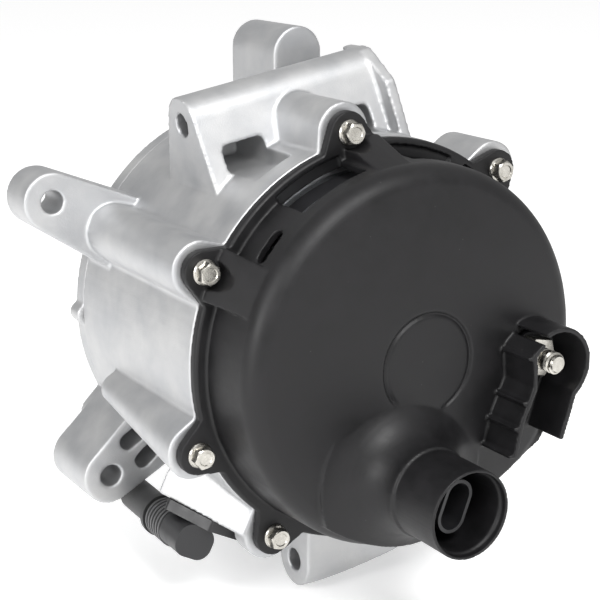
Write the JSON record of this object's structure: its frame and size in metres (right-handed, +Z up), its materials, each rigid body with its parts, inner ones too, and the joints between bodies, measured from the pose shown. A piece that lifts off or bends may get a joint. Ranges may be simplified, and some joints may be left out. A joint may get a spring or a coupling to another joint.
{
  "type": "vehicle alternator",
  "caption": "Vehicle alternator with a die-cast housing, mounting ears and bars, black rear cover, round connector port, output stud and ribbed belt pulley.",
  "frame": {"origin": "on the shaft axis, in the plane of the middle of the belt pulley grooves", "axes": "+Y along the shaft towards the rear cover, +Z up, +X towards the side with the two long ears"},
  "size_m": [0.1926, 0.2065, 0.204],
  "materials": {
    "cast_aluminium": "bright satin die casting",
    "black_plastic": "moulded glass-filled nylon, matte black",
    "dark_plastic": "moulded, matte",
    "zinc_steel": "zinc plated, slightly warm",
    "lamination_steel": "stacked laminations, varnished",
    "copper_winding": "enamelled copper wire, varnished",
    "bearing_steel": "ground and polished",
    "cage_brass": "pressed sheet",
    "forged_steel": "forged and machined",
    "ring_copper": "turned copper",
    "pulley_steel": "black oxide",
    "plate_aluminium": "stamped sheet",
    "brush_carbon": "copper graphite, matte",
    "spring_steel": "bright wire",
    "tin_brass": "tin plated",
    "grey_seal": "silicone, matte",
    "boot_rubber": "moulded rubber, matte"
  },
  "bodies": {
    "casing": {"rear_housing": "cast_aluminium", "drive_end_bracket": "cast_aluminium", "rear_cover": "black_plastic", "cover_screws": "zinc_steel", "bracket_bolts": "zinc_steel", "stator_core": "lamination_steel", "stator_winding": "copper_winding", "front_bearing_outer_race": "bearing_steel", "rear_bearing_outer_race": "bearing_steel", "rear_bearing_sleeve": "dark_plastic", "bearing_retainer": "zinc_steel", "retainer_screws": "zinc_steel", "negative_diode_plate": "plate_aluminium", "positive_diode_plate": "plate_aluminium", "negative_diodes": "ring_copper", "positive_diodes": "ring_copper", "terminal_block": "dark_plastic", "plate_screws": "zinc_steel", "output_stud": "zinc_steel", "stud_nut": "zinc_steel", "stud_washer": "dark_plastic", "brush_holder": "dark_plastic", "brush_spring_front": "spring_steel", "brush_spring_rear": "spring_steel", "regulator": "dark_plastic", "oval_connector": "dark_plastic", "oval_terminals": "tin_brass", "plug_base": "dark_plastic", "plug_body": "dark_plastic", "plug_collar": "grey_seal", "plug_boot": "boot_rubber"},
    "rotor": {"rotor_shaft": "bearing_steel", "front_claw_pole": "forged_steel", "rear_claw_pole": "forged_steel", "field_bobbin": "dark_plastic", "field_coil": "copper_winding", "front_fan": "zinc_steel", "rear_fan": "zinc_steel", "slip_ring_carrier": "dark_plastic", "slip_ring_front": "ring_copper", "slip_ring_rear": "ring_copper", "pulley": "pulley_steel", "pulley_nut": "zinc_steel", "shaft_spacer": "zinc_steel", "front_bearing_inner_race": "bearing_steel", "rear_bearing_inner_race": "bearing_steel"},
    "front_ball_set": {"front_bearing_balls": "bearing_steel", "front_bearing_cage": "cage_brass"},
    "rear_ball_set": {"rear_bearing_balls": "bearing_steel", "rear_bearing_cage": "cage_brass"},
    "front_brush_body": {"brush_front": "brush_carbon"},
    "rear_brush_body": {"brush_rear": "brush_carbon"}
  },
  "joints": [
    {"name": "rotor_spin", "type": "hinge", "parent": "casing", "child": "rotor", "pos_m": [0, 0, 0], "axis": [0, 1, 0], "continuous": true},
    {"name": "front_ball_set_spin", "type": "hinge", "parent": "casing", "child": "front_ball_set", "pos_m": [0, 0.0265, 0], "axis": [0, 1, 0], "continuous": true},
    {"name": "rear_ball_set_spin", "type": "hinge", "parent": "casing", "child": "rear_ball_set", "pos_m": [0, 0.1058, 0], "axis": [0, 1, 0], "continuous": true},
    {"name": "front_brush_slide", "type": "slide", "parent": "casing", "child": "front_brush_body", "axis": [0, 0, -1], "range_m": [0, 0.003], "stiffness_N_per_m": 300, "springref_m": -0.008, "deforming": ["brush_spring_front"]},
    {"name": "rear_brush_slide", "type": "slide", "parent": "casing", "child": "rear_brush_body", "axis": [0, 0, -1], "range_m": [0, 0.003], "stiffness_N_per_m": 300, "springref_m": -0.008, "deforming": ["brush_spring_rear"]}
  ],
  "couplings": [
    {"joint": "front_ball_set_spin", "follows": "rotor_spin", "ratio": 0.3781},
    {"joint": "rear_ball_set_spin", "follows": "rotor_spin", "ratio": 0.384}
  ]
}
